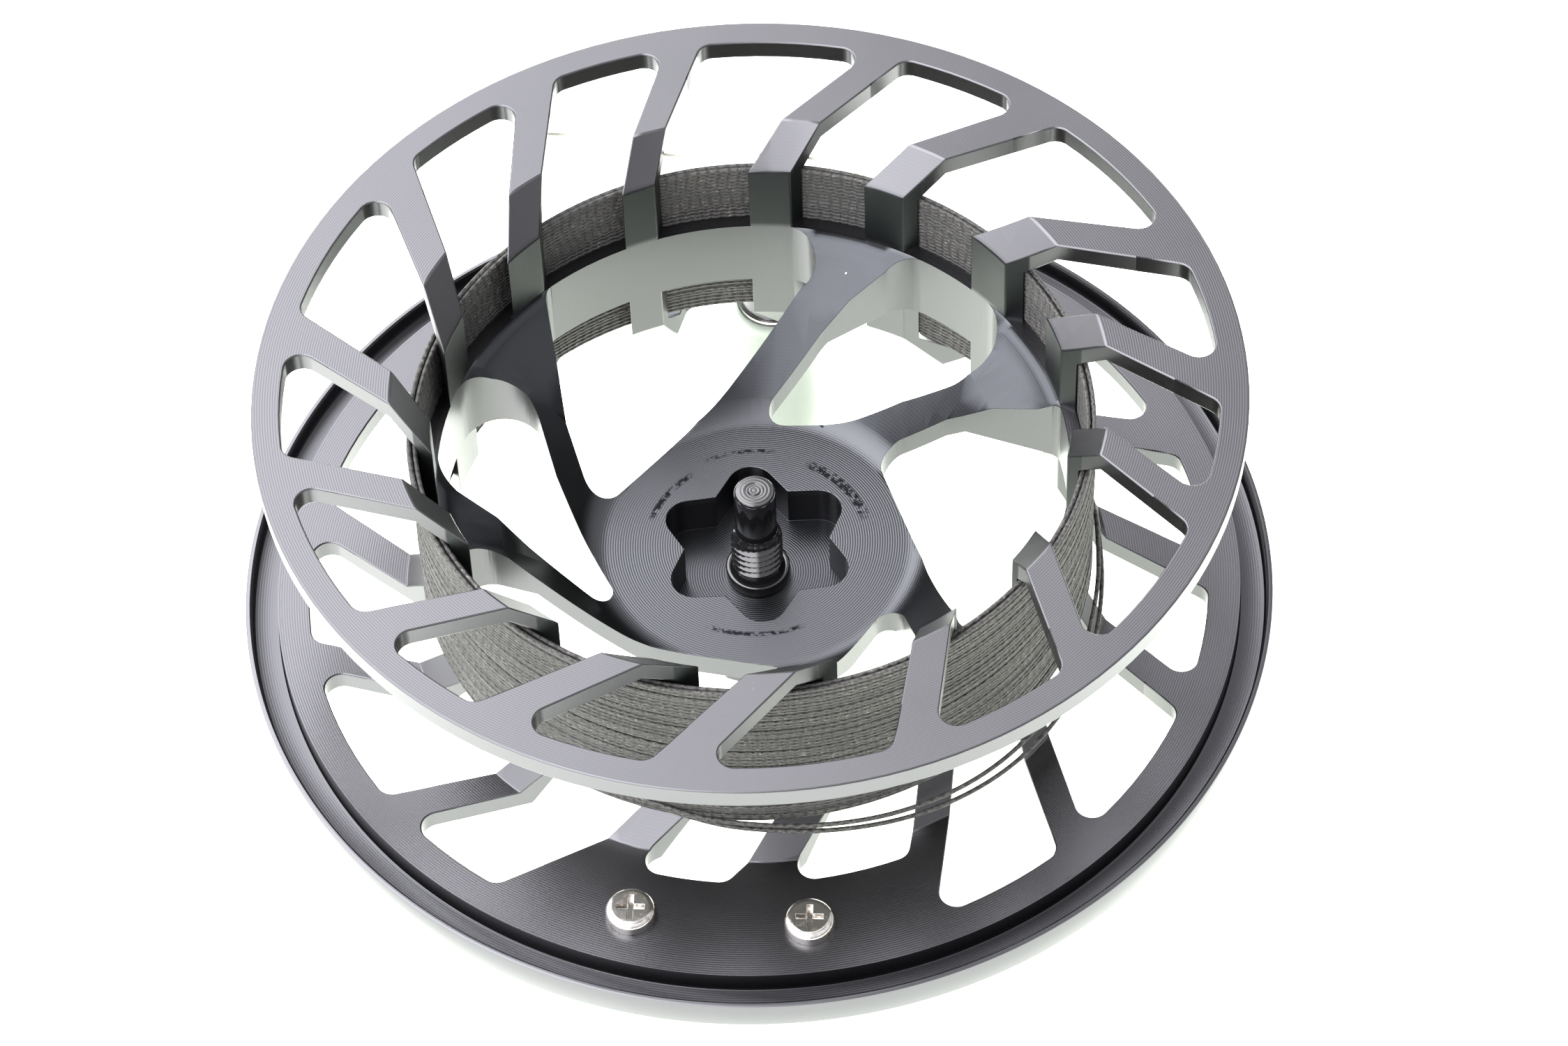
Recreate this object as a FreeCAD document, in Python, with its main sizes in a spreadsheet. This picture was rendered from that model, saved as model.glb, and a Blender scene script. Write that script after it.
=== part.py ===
import FreeCAD, Part
import math
import os
import Sketcher

# Spool of a large-arbor fly reel, with its handle, balance weight and quick-release screw.
# +Z runs along the spool's axis towards the reel frame, the origin is on that axis in the
# plane of the hub's seat, and the handle stands on the +Y side. Lengths are millimetres.

doc = FreeCAD.newDocument("ReelSpool")
sheet = doc.addObject("Spreadsheet::Sheet", "Dimensions")

size = {
    # flanges, seen in half section
    "rim_radius": 50.0,
    "lip_inner": 49.4,
    "groove_inner": 46.8,
    "groove_corner": 0.45,
    "web_radius": 46.5,
    "frame_flange_radius": 46.4,
    "rib_root_radius": 39.5,
    "flange_thickness": 2.1,
    "frame_face": 24.0,
    "handle_line_face": -4.55,
    "lip_top": -4.9,
    "groove_floor": -6.75,
    "rim_bottom": -8.2,
    # arbor wall and the bends between wall and flanges
    "wall_inner": 30.0,
    "wall_outer": 31.3,
    "band_inner": 30.3,
    "band_top": 12.3,
    "band_bottom": 4.4,
    "frame_inner_bend": 20.1,
    "frame_inner_bend_radius": 33.5,
    "frame_line_bend": 19.3,
    "frame_line_bend_radius": 33.6,
    "handle_inner_bend": -0.7,
    "handle_inner_bend_radius": 33.3,
    "handle_line_bend": -1.4,
    "handle_line_bend_radius": 34.2,
    # slots
    "slot_outer": 43.7,
    "slot_short": 36.5,
    "slot_inner": 29.0,
    "slot_corner": 1.6,
    # hub dish and its windows
    "seat_radius": 16.13,
    "seat_blend": 4.0,
    "dish_bend_radius": 24.6,
    "dish_bend": 9.05,
    "dish_land_radius": 28.2,
    "dish_land": 10.7,
    "dish_root_radius": 22.6,
    "disc_underside": -2.6,
    "underside_radius": 16.03,
    "boss_radius": 11.5,
    "boss_bottom": -6.5,
    "window_arc": 30.0,
    "narrow_hub_corner": 1.5,
    "narrow_low_corner": 4.0,
    "narrow_high_corner": 3.4,
    "narrow_low": 24.3,
    "narrow_high": 62.6,
    "wide_hub_corner": 1.95,
    "wide_low_corner": 2.8,
    "wide_high_corner": 1.5,
    "wide_low": 74.0,
    "wide_high": 134.5,
    # drive socket
    "socket_depth": 4.6,
    "socket_valley": 7.0,
    "lobe_centre": 7.2,
    "lobe_radius": 2.3,
    "lobe_first": 36.5,
    "screw_bore": 2.9,
    # release screw and its cap
    "nose_tip": 8.2,
    "nose_radius": 2.0,
    "nose_chamfer": 0.4,
    "thread_top": 1.8,
    "thread_bottom": -3.3,
    "thread_radius": 2.5,
    "neck_radius": 2.0,
    "shank_radius": 2.85,
    "collar_radius": 3.12,
    "collar_bottom": -4.55,
    "screw_float": 1.0,
    "washer_radius": 5.5,
    "washer_thickness": 0.55,
    "washer_gap": 0.05,
    "cap_radius": 8.0,
    "cap_height": 4.4,
    "cap_corner": 0.8,
    "cap_flute": 1.3,
    "cap_flute_radius": 8.7,
    "shank_end": -11.8,
    # backing line
    "backing_inner": 31.35,
    "backing_outer": 32.4,
    "backing_low": -0.8,
    "backing_high": 19.1,
    "backing_crown": 0.6,
    "wrap_radius": 0.225,
    "tag_radius": 0.15,
    # handle
    "handle_radius": 41.5,
    "post_thread": 1.5,
    "post_radius": 1.75,
    "post_end": -30.9,
    "ferrule_radius": 3.3,
    "ferrule_bottom": -11.7,
    "handle_washer_radius": 3.6,
    "handle_washer_bottom": -12.05,
    "knob_top": -12.1,
    "knob_end": -32.3,
    "knob_top_radius": 4.0,
    "knob_belly_radius": 4.7,
    "knob_belly": -26.5,
    "knob_end_radius": 4.1,
    "knob_corner": 0.9,
    "knob_bore": 2.6,
    "bush_bore": 1.8,
    "bush_length": 4.0,
    "lower_bush_top": -26.4,
    "knob_counterbore": 3.3,
    "end_screw_radius": 3.0,
    "end_screw_shank": 1.0,
    "end_screw_length": 6.0,
    "end_screw_head": 1.1,
    # balance weight
    "weight_inner": 37.5,
    "weight_outer": 45.3,
    "weight_bottom": -11.15,
    "weight_sweep": 34.0,
    "weight_middle": 266.85,
    "weight_screw_radius": 41.5,
    "weight_screw_spread": 23.1,
    "screw_shank": 1.2,
    "screw_length": 5.5,
    "screw_head": 2.35,
    "screw_head_height": 1.3,
    "screw_head_corner": 0.7,
    "recess_width": 0.55,
    "recess_length": 2.6,
    "recess_depth": 0.7,
}

# angles of the two sides of each slot in one sector, where they meet the outer circle,
# the circle that the short slots end on, and the inner circle
slot_angles = {
    "low_outer": (3.1, 26.0, 53.9, 76.1, 102.7),
    "high_outer": (20.1, 48.6, 71.6, 98.1, 117.7),
    "low_short": (10.9, 34.2, 60.6, 82.8, 108.4),
    "high_short": (27.1, 54.3, 77.0, 103.1, 124.5),
    "low_inner": (25.7, 50.0, 72.6, 94.6, 118.2),
    "high_inner": (39.8, 64.2, 86.1, 111.4, 136.7),
}
for side, angles in slot_angles.items():
    for place, angle in enumerate(angles):
        size["%s_%s" % (side, "abcde"[place])] = angle

# straight-sided corners of the two windows between the spokes, in the first sector
window_corners = {
    "narrow": ((5.81, 21.25), (-1.75, 14.79), (13.85, 14.43)),
    "wide": ((-18.69, 10.24), (-15.65, 3.51), (-6.28, 14.85)),
}
for window, corners in window_corners.items():
    for place, (across, up) in enumerate(corners):
        size["%s_across_%s" % (window, "abc"[place])] = across
        size["%s_up_%s" % (window, "abc"[place])] = up

# points that the loose strands pass, each an angle, a radius and a height
strand_points = {
    "loose_wrap_a": ((257.0, 32.2, -0.15), (263.0, 32.85, -0.3), (271.0, 33.35, -0.5), (284.0, 34.3, -0.8),
                     (298.0, 35.35, -0.9), (312.0, 35.95, -0.6), (325.5, 35.75, 0.0), (338.0, 35.0, 0.8),
                     (349.5, 33.9, 1.6), (359.5, 33.0, 2.2), (366.0, 32.7, 2.5), (371.0, 32.15, 2.7)),
    "loose_wrap_b": ((252.5, 32.2, 0.8), (259.0, 32.85, 0.6), (268.0, 33.3, 0.4), (281.0, 34.1, 0.2),
                     (295.0, 35.0, 0.15), (309.0, 35.5, 0.4), (323.0, 35.25, 0.95), (336.0, 34.5, 1.7),
                     (348.0, 33.6, 2.5), (357.0, 32.9, 3.1), (363.5, 32.7, 3.4), (368.0, 32.15, 3.6)),
    "tag_strand": ((72.0, 32.1, 19.3), (78.5, 32.75, 19.55), (87.0, 32.9, 19.75), (95.5, 32.85, 19.8),
                   (104.0, 33.4, 19.85), (111.2, 35.15, 19.9), (117.5, 39.7, 20.0), (121.5, 41.0, 20.1)),
}
for strand, points in strand_points.items():
    for place, (angle, radius, height) in enumerate(points):
        size["%s_angle_%d" % (strand, place)] = angle
        size["%s_radius_%d" % (strand, place)] = radius
        size["%s_height_%d" % (strand, place)] = height

for line, (alias, value) in enumerate(size.items(), start=1):
    sheet.set("A%d" % line, alias)
    sheet.set("B%d" % line, str(value))
    sheet.setAlias("B%d" % line, alias)
doc.recompute()

sub_parts = []


def named(part, label):
    """Give a finished sub-part its label and keep it for export."""
    part.Label = label
    sub_parts.append(part)
    return part


def cell(alias):
    return "Dimensions." + alias


class Place:
    """One coordinate: the sheet formula that drives it, and its value now."""

    def __init__(self, formula, value):
        self.formula = formula
        self.value = value


def at(alias, extra_alias=None, sign=1):
    """The value of a cell, or of a cell plus or minus another."""
    if extra_alias is None:
        return Place(cell(alias), size[alias])
    joint = " + " if sign > 0 else " - "
    return Place(cell(alias) + joint + cell(extra_alias), size[alias] + sign * size[extra_alias])


def polar(radius_alias, angle_alias, turn=0.0):
    """A point at a radius and an angle from cells, turned on by a number of degrees."""
    angle = math.radians(size[angle_alias] + turn)
    around = "((%s + %g) * 1 deg)" % (cell(angle_alias), turn)
    across = Place(cell(radius_alias) + " * cos" + around, size[radius_alias] * math.cos(angle))
    up = Place(cell(radius_alias) + " * sin" + around, size[radius_alias] * math.sin(angle))
    return across, up


def new_body(name):
    body = doc.addObject("PartDesign::Body", name)
    body.AllowCompound = True
    return body


def new_sketch(body, name, role):
    sketch = body.newObject("Sketcher::SketchObject", name)
    plane = next(item for item in body.Origin.OriginFeatures if item.Role == role)
    sketch.AttachmentSupport = [(plane, "")]
    sketch.MapMode = "FlatFace"
    return sketch


def pin_down(sketch, shape, end, kind, place):
    """Tie one coordinate of a sketch point to its formula."""
    index = sketch.addConstraint(Sketcher.Constraint(kind, -1, 1, shape, end, place.value))
    sketch.setExpression("Constraints[%d]" % index, place.formula)


def outline(sketch, corners):
    """A closed outline of straight lines through corners, each an (across, up) pair of places."""
    count = len(corners)
    points = [FreeCAD.Vector(across.value, up.value, 0) for across, up in corners]
    first = sketch.GeometryCount
    for index in range(count):
        sketch.addGeometry(Part.LineSegment(points[index], points[(index + 1) % count]), False)
    for index, (across, up) in enumerate(corners):
        following = first + (index + 1) % count
        sketch.addConstraint(Sketcher.Constraint("Coincident", first + index, 2, following, 1))
        pin_down(sketch, first + index, 1, "DistanceX", across)
        pin_down(sketch, first + index, 1, "DistanceY", up)


def circle(sketch, across, up, radius):
    middle = FreeCAD.Vector(across.value, up.value, 0)
    shape = sketch.addGeometry(Part.Circle(middle, FreeCAD.Vector(0, 0, 1), radius.value), False)
    index = sketch.addConstraint(Sketcher.Constraint("Radius", shape, radius.value))
    sketch.setExpression("Constraints[%d]" % index, radius.formula)
    pin_down(sketch, shape, 3, "DistanceX", across)
    pin_down(sketch, shape, 3, "DistanceY", up)


def revolve(body, corners, name="Turned"):
    """A turned solid about Z from a half section of (radius, height) places."""
    sketch = new_sketch(body, name + "Section", "XZ_Plane")
    outline(sketch, corners)
    turned = body.newObject("PartDesign::Revolution", name)
    turned.Profile = sketch
    turned.ReferenceAxis = (sketch, ["V_Axis"])
    turned.Angle = 360.0
    doc.recompute()
    return turned


def pocket(body, sketch, name, length):
    """Cut a sketch on the XY plane through the body, both ways."""
    before = body.Shape.Volume
    cut = body.newObject("PartDesign::Pocket", name)
    cut.Profile = sketch
    cut.Type = "Length"
    cut.Midplane = True
    cut.Length = length
    doc.recompute()
    if not body.Shape.Volume < before:
        raise RuntimeError(name + " cuts nothing")
    return cut


def fillet(body, name, radius_alias, wanted):
    """Round the edges of the body's tip that the wanted function picks."""
    base = body.Tip
    edges = ["Edge%d" % (index + 1) for index, edge in enumerate(base.Shape.Edges) if wanted(edge)]
    if not edges:
        raise RuntimeError(name + " finds no edge")
    rounded = body.newObject("PartDesign::Fillet", name)
    rounded.Base = (base, edges)
    rounded.Radius = size[radius_alias]
    rounded.setExpression("Radius", cell(radius_alias))
    doc.recompute()
    return rounded


def is_ring(edge, radius, height):
    """Whether an edge is a circle about Z at a radius and a height."""
    curve = edge.Curve
    if not isinstance(curve, Part.Circle):
        return False
    return abs(curve.Radius - radius) < 1e-3 and abs(edge.Vertexes[0].Point.z - height) < 1e-3


def is_upright(edge, radius):
    """Whether an edge is parallel to Z and stands at a radius."""
    ends = [vertex.Point for vertex in edge.Vertexes]
    if len(ends) != 2 or math.hypot(ends[0].x - ends[1].x, ends[0].y - ends[1].y) > 1e-3:
        return False
    return abs(math.hypot(ends[0].x, ends[0].y) - radius) < 0.02


# ---- slotted flanges ----

sectors = (0.0, 120.0, 240.0)
letters = "abcde"
# length of a cut that goes right through the spool
through = 80.0
handle_side_short = {(0.0, "d"), (240.0, "a"), (240.0, "b")}


def slot(sketch, turn, letter, outer_alias, ending):
    """One leaning slot: two straight sides, an outer end on a circle about the axis."""
    low = polar(outer_alias, "low_%s_%s" % (ending, letter), turn)
    high = polar(outer_alias, "high_%s_%s" % (ending, letter), turn)
    low_inner = polar("slot_inner", "low_inner_" + letter, turn)
    high_inner = polar("slot_inner", "high_inner_" + letter, turn)
    spots = [FreeCAD.Vector(a.value, b.value, 0) for a, b in (low, low_inner, high_inner, high)]
    first = sketch.GeometryCount
    for index in range(3):
        sketch.addGeometry(Part.LineSegment(spots[index], spots[index + 1]), False)
    ring = Part.Circle(FreeCAD.Vector(), FreeCAD.Vector(0, 0, 1), size[outer_alias])
    start = math.radians(size["low_%s_%s" % (ending, letter)] + turn)
    stop = math.radians(size["high_%s_%s" % (ending, letter)] + turn)
    arc = sketch.addGeometry(Part.ArcOfCircle(ring, start, stop), False)
    sketch.addConstraint(Sketcher.Constraint("Coincident", first, 2, first + 1, 1))
    sketch.addConstraint(Sketcher.Constraint("Coincident", first + 1, 2, first + 2, 1))
    sketch.addConstraint(Sketcher.Constraint("Coincident", first, 1, arc, 1))
    sketch.addConstraint(Sketcher.Constraint("Coincident", first + 2, 2, arc, 2))
    sketch.addConstraint(Sketcher.Constraint("Coincident", arc, 3, -1, 1))
    for line, point in ((first, low), (first + 1, low_inner), (first + 2, high_inner)):
        pin_down(sketch, line, 1, "DistanceX", point[0])
        pin_down(sketch, line, 1, "DistanceY", point[1])
    # the far end of the arc is already on its circle, so one coordinate settles it
    if abs(high[0].value) > abs(high[1].value):
        pin_down(sketch, first + 2, 2, "DistanceY", high[1])
    else:
        pin_down(sketch, first + 2, 2, "DistanceX", high[0])


def cut_slots(body, short, full_length, name="Slots"):
    """Cut the fifteen slots; those in short end early, or are left out where full_length is asked."""
    sketch = new_sketch(body, name + "Plan", "XY_Plane")
    for turn in sectors:
        for letter in letters:
            if (turn, letter) not in short:
                slot(sketch, turn, letter, "slot_outer", "outer")
            elif not full_length:
                slot(sketch, turn, letter, "slot_short", "short")
    return pocket(body, sketch, name, 100.0)


def flange_rim(label, outer_alias, low, high, short):
    """The flat outer ring of a flange with the rounded outer ends of its slots."""
    body = new_body("Body_" + label)
    inner, outer = at("rib_root_radius"), at(outer_alias)
    revolve(body, [(inner, low), (outer, low), (outer, high), (inner, high)])
    cut_slots(body, short, True)
    fillet(body, "SlotCorners", "slot_corner", lambda edge: is_upright(edge, size["slot_outer"]))
    return body


def frame_side_rim():
    low = at("frame_face", "flange_thickness", -1)
    body = flange_rim("frame_side_rim", "frame_flange_radius", low, at("frame_face"), set())
    return named(body, "frame_side_rim")


def frame_side_ribs():
    body = new_body("Body_frame_side_ribs")
    low = at("frame_face", "flange_thickness", -1)
    revolve(body, [
        (at("wall_inner"), at("band_top")),
        (at("wall_outer"), at("band_top")),
        (at("wall_outer"), at("frame_line_bend")),
        (at("frame_line_bend_radius"), low),
        (at("rib_root_radius"), low),
        (at("rib_root_radius"), at("frame_face")),
        (at("frame_inner_bend_radius"), at("frame_face")),
        (at("wall_inner"), at("frame_inner_bend")),
    ])
    cut_slots(body, set(), False)
    return named(body, "frame_side_ribs")


def handle_side_ribs():
    body = new_body("Body_handle_side_ribs")
    low = at("handle_line_face", "flange_thickness", -1)
    revolve(body, [
        (at("wall_inner"), at("band_bottom")),
        (at("wall_inner"), at("handle_inner_bend")),
        (at("handle_inner_bend_radius"), low),
        (at("rib_root_radius"), low),
        (at("rib_root_radius"), at("handle_line_face")),
        (at("handle_line_bend_radius"), at("handle_line_face")),
        (at("wall_outer"), at("handle_line_bend")),
        (at("wall_outer"), at("band_bottom")),
    ])
    cut_slots(body, handle_side_short, False)
    fillet(body, "ShortSlotCorners", "slot_corner", lambda edge: is_upright(edge, size["slot_short"]))
    return named(body, "handle_side_ribs")


def weight_screw_angles():
    half = size["weight_screw_spread"] / 2
    return size["weight_middle"] - half, size["weight_middle"] + half


def handle_side_rim():
    low = at("handle_line_face", "flange_thickness", -1)
    body = flange_rim("handle_side_rim", "web_radius", low, at("handle_line_face"), handle_side_short)
    holes = new_sketch(body, "HolePlan", "XY_Plane")
    circle(holes, Place("0", 0.0), at("handle_radius"), at("post_thread"))
    for sign in (-1, 1):
        angle = size["weight_middle"] + sign * size["weight_screw_spread"] / 2
        around = "((%s %s %s / 2) * 1 deg)" % (
            cell("weight_middle"), "+" if sign > 0 else "-", cell("weight_screw_spread"))
        reach = size["weight_screw_radius"]
        across = Place(cell("weight_screw_radius") + " * cos" + around,
                       reach * math.cos(math.radians(angle)))
        up = Place(cell("weight_screw_radius") + " * sin" + around, reach * math.sin(math.radians(angle)))
        circle(holes, across, up, at("screw_shank"))
    pocket(body, holes, "Holes", 100.0)
    return named(body, "handle_side_rim")


def palming_rim():
    body = new_body("Body_palming_rim")
    revolve(body, [
        (at("web_radius"), at("rim_bottom")),
        (at("rim_radius"), at("rim_bottom")),
        (at("rim_radius"), at("lip_top")),
        (at("lip_inner"), at("lip_top")),
        (at("lip_inner"), at("groove_floor")),
        (at("groove_inner"), at("groove_floor")),
        (at("groove_inner"), at("handle_line_face")),
        (at("web_radius"), at("handle_line_face")),
    ])
    floor = size["groove_floor"]
    fillet(body, "GrooveCorners", "groove_corner", lambda edge: (
        is_ring(edge, size["lip_inner"], floor) or is_ring(edge, size["groove_inner"], floor)))
    fillet(body, "RimCorner", "groove_corner",
           lambda edge: is_ring(edge, size["rim_radius"], size["rim_bottom"]))
    return named(body, "palming_rim")


# ---- arbor and hub ----

def arbor_band():
    body = new_body("Body_arbor_band")
    revolve(body, [
        (at("band_inner"), at("band_bottom")),
        (at("wall_outer"), at("band_bottom")),
        (at("wall_outer"), at("band_top")),
        (at("band_inner"), at("band_top")),
    ])
    return named(body, "arbor_band")


def swung(across_alias, up_alias, turn):
    """A point from two cells, turned about the axis by a number of degrees."""
    angle = math.radians(turn)
    across, up = size[across_alias], size[up_alias]
    first = Place("%s * cos(%g deg) - %s * sin(%g deg)" % (cell(across_alias), turn, cell(up_alias), turn),
                  across * math.cos(angle) - up * math.sin(angle))
    second = Place("%s * sin(%g deg) + %s * cos(%g deg)" % (cell(across_alias), turn, cell(up_alias), turn),
                   across * math.sin(angle) + up * math.cos(angle))
    return first, second


def window(sketch, name, turn):
    """A window between two spokes: four straight sides, closed by an arc at the arbor wall."""
    low = polar("window_arc", name + "_low", turn)
    corners = [polar("window_arc", name + "_high", turn)]
    for letter in "abc":
        corners.append(swung("%s_across_%s" % (name, letter), "%s_up_%s" % (name, letter), turn))
    spots = [FreeCAD.Vector(across.value, up.value, 0) for across, up in corners + [low]]
    first = sketch.GeometryCount
    sides = len(corners)
    for index in range(sides):
        sketch.addGeometry(Part.LineSegment(spots[index], spots[index + 1]), False)
    ring = Part.Circle(FreeCAD.Vector(), FreeCAD.Vector(0, 0, 1), size["window_arc"])
    start = math.radians(size[name + "_low"] + turn)
    stop = math.radians(size[name + "_high"] + turn)
    arc = sketch.addGeometry(Part.ArcOfCircle(ring, start, stop), False)
    for index in range(sides - 1):
        sketch.addConstraint(Sketcher.Constraint("Coincident", first + index, 2, first + index + 1, 1))
    sketch.addConstraint(Sketcher.Constraint("Coincident", first + sides - 1, 2, arc, 1))
    sketch.addConstraint(Sketcher.Constraint("Coincident", first, 1, arc, 2))
    sketch.addConstraint(Sketcher.Constraint("Coincident", arc, 3, -1, 1))
    for index, (across, up) in enumerate(corners):
        pin_down(sketch, first + index, 1, "DistanceX", across)
        pin_down(sketch, first + index, 1, "DistanceY", up)
    # the low end is already on the arc's circle, so one coordinate settles it
    steep = abs(low[0].value) > abs(low[1].value)
    pin_down(sketch, arc, 1, "DistanceY" if steep else "DistanceX", low[1] if steep else low[0])


def is_window_corner(edge, across, up):
    """Whether an edge parallel to Z stands at a corner, in any of the three sectors."""
    ends = [vertex.Point for vertex in edge.Vertexes]
    if len(ends) != 2 or math.hypot(ends[0].x - ends[1].x, ends[0].y - ends[1].y) > 1e-3:
        return False
    for turn in sectors:
        angle = math.radians(turn)
        x = across * math.cos(angle) - up * math.sin(angle)
        y = across * math.sin(angle) + up * math.cos(angle)
        if math.hypot(ends[0].x - x, ends[0].y - y) < 0.02:
            return True
    return False


def window_cutters():
    """Prisms that cut the six windows, with their upright edges rounded."""
    body = new_body("Body_window_cutters")
    plan = new_sketch(body, "WindowPlan", "XY_Plane")
    for turn in sectors:
        window(plan, "narrow", turn)
        window(plan, "wide", turn)
    prisms = body.newObject("PartDesign::Pad", "WindowPrisms")
    prisms.Profile = plan
    prisms.Type = "Length"
    prisms.Midplane = True
    prisms.Length = through
    doc.recompute()
    for name in ("narrow", "wide"):
        hub = (size[name + "_across_b"], size[name + "_up_b"])
        fillet(body, name + "HubCorners", name + "_hub_corner",
               lambda edge: is_window_corner(edge, *hub))
        for ending in ("_low", "_high"):
            ring = [place.value for place in polar("window_arc", name + ending)]
            fillet(body, name + ending, name + ending + "_corner",
                   lambda edge: is_window_corner(edge, *ring))
    return body


def drive_socket(body):
    """The six-lobed blind socket in the seat disc."""
    sketch = new_sketch(body, "SocketPlan", "XY_Plane")
    lobes = 6
    step = 360.0 / lobes
    wrap = math.radians(60)
    lines = []
    for index in range(lobes):
        middle = polar("lobe_centre", "lobe_first", step * index)
        before = polar("socket_valley", "lobe_first", step * (index - 0.5))
        after = polar("socket_valley", "lobe_first", step * (index + 0.5))
        centre = FreeCAD.Vector(middle[0].value, middle[1].value, 0)
        heading = math.radians(size["lobe_first"] + step * index)
        tip = Part.Circle(centre, FreeCAD.Vector(0, 0, 1), size["lobe_radius"])
        arc = sketch.addGeometry(Part.ArcOfCircle(tip, heading - wrap, heading + wrap), False)
        start, stop = sketch.getPoint(arc, 1), sketch.getPoint(arc, 2)
        rise = sketch.addGeometry(Part.LineSegment(
            FreeCAD.Vector(before[0].value, before[1].value, 0), start), False)
        fall = sketch.addGeometry(Part.LineSegment(
            stop, FreeCAD.Vector(after[0].value, after[1].value, 0)), False)
        sketch.addConstraint(Sketcher.Constraint("Tangent", rise, 2, arc, 1))
        sketch.addConstraint(Sketcher.Constraint("Tangent", arc, 2, fall, 1))
        radius = sketch.addConstraint(Sketcher.Constraint("Radius", arc, size["lobe_radius"]))
        sketch.setExpression("Constraints[%d]" % radius, cell("lobe_radius"))
        pin_down(sketch, arc, 3, "DistanceX", middle[0])
        pin_down(sketch, arc, 3, "DistanceY", middle[1])
        pin_down(sketch, rise, 1, "DistanceX", before[0])
        pin_down(sketch, rise, 1, "DistanceY", before[1])
        lines.append((rise, fall))
    for index in range(lobes):
        sketch.addConstraint(Sketcher.Constraint(
            "Coincident", lines[index][1], 2, lines[(index + 1) % lobes][0], 1))
    before = body.Shape.Volume
    cut = body.newObject("PartDesign::Pocket", "Socket")
    cut.Profile = sketch
    cut.Type = "Length"
    cut.Length = size["socket_depth"]
    cut.setExpression("Length", cell("socket_depth"))
    doc.recompute()
    if not body.Shape.Volume < before:
        raise RuntimeError("the socket cuts nothing")


def hub_spider():
    """The dished hub: seat disc, six swirled spokes and a thin hoop inside the arbor band."""
    body = new_body("Body_hub_spider")
    zero = Place("0", 0.0)
    revolve(body, [
        (zero, zero),
        (zero, at("boss_bottom")),
        (at("boss_radius"), at("boss_bottom")),
        (at("boss_radius"), at("disc_underside")),
        (at("underside_radius"), at("disc_underside")),
        (at("dish_root_radius"), at("band_bottom")),
        (at("band_inner"), at("band_bottom")),
        (at("band_inner"), at("band_top")),
        (at("wall_inner"), at("band_top")),
        (at("dish_land_radius"), at("dish_land")),
        (at("dish_bend_radius"), at("dish_bend")),
        (at("seat_radius"), zero),
    ])
    fillet(body, "SeatBlend", "seat_blend", lambda edge: is_ring(edge, size["seat_radius"], 0.0))
    drive_socket(body)
    bore = new_sketch(body, "BorePlan", "XY_Plane")
    circle(bore, zero, zero, at("screw_bore"))
    pocket(body, bore, "Bore", through)
    cut = doc.addObject("Part::Cut", "Spider")
    cut.Base = body
    cut.Tool = window_cutters()
    doc.recompute()
    return named(cut, "hub_spider")


# ---- release screw ----

def turned_part(label, corners):
    """A plain turned sub-part about the spool's axis."""
    body = new_body("Body_" + label)
    revolve(body, corners)
    return named(body, label)


def washer_top():
    """The underside of the hub boss, less the screw's float and a little clearance."""
    formula = "%s - %s - %s" % (cell("boss_bottom"), cell("screw_float"), cell("washer_gap"))
    return Place(formula, size["boss_bottom"] - size["screw_float"] - size["washer_gap"])


def below(place, *aliases):
    """A height below another by one or more cells."""
    formula = place.formula
    value = place.value
    for alias in aliases:
        formula = formula + " - " + cell(alias)
        value = value - size[alias]
    return Place(formula, value)


def release_screw():
    zero = Place("0", 0.0)
    body = new_body("Body_release_screw")
    revolve(body, [
        (zero, at("nose_tip")),
        (at("nose_radius", "nose_chamfer", -1), at("nose_tip")),
        (at("nose_radius"), at("nose_tip", "nose_chamfer", -1)),
        (at("nose_radius"), at("thread_top")),
        (at("thread_radius"), at("thread_top")),
        (at("thread_radius"), at("thread_bottom")),
        (at("neck_radius"), at("thread_bottom")),
        (at("neck_radius"), at("collar_bottom")),
        (at("shank_radius"), at("collar_bottom")),
        (at("shank_radius"), at("shank_end")),
        (zero, at("shank_end")),
    ])
    return named(body, "release_screw")


def retaining_collar():
    return turned_part("retaining_collar", [
        (at("neck_radius"), at("collar_bottom")),
        (at("collar_radius"), at("collar_bottom")),
        (at("collar_radius"), at("thread_bottom")),
        (at("neck_radius"), at("thread_bottom")),
    ])


def thrust_washer():
    top = washer_top()
    low = below(top, "washer_thickness")
    return turned_part("thrust_washer", [
        (at("screw_bore"), low), (at("washer_radius"), low),
        (at("washer_radius"), top), (at("screw_bore"), top),
    ])


def release_cap():
    """The fluted finger cap pressed on the end of the release screw."""
    top = below(washer_top(), "washer_thickness", "washer_gap")
    low = below(top, "cap_height")
    zero = Place("0", 0.0)
    body = new_body("Body_release_cap")
    revolve(body, [
        (zero, low), (at("cap_radius"), low), (at("cap_radius"), top),
        (at("shank_radius"), top), (at("shank_radius"), at("shank_end")), (zero, at("shank_end")),
    ])
    fillet(body, "CapCorner", "cap_corner", lambda edge: is_ring(edge, size["cap_radius"], low.value))
    plan = new_sketch(body, "FlutePlan", "XY_Plane")
    circle(plan, at("cap_flute_radius"), zero, at("cap_flute"))
    flute = pocket(body, plan, "Flute", through)
    around = body.newObject("PartDesign::PolarPattern", "FlutesAround")
    around.Originals = [flute]
    around.Axis = (plan, ["N_Axis"])
    around.Angle = 360.0
    around.Occurrences = 12
    body.Tip = around
    doc.recompute()
    return named(body, "release_cap")


# ---- handle, turned about its own axis ----

def handle_part(label, corners):
    body = new_body("Body_" + label)
    revolve(body, corners)
    body.setExpression(".Placement.Base.y", cell("handle_radius"))
    return body


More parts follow.
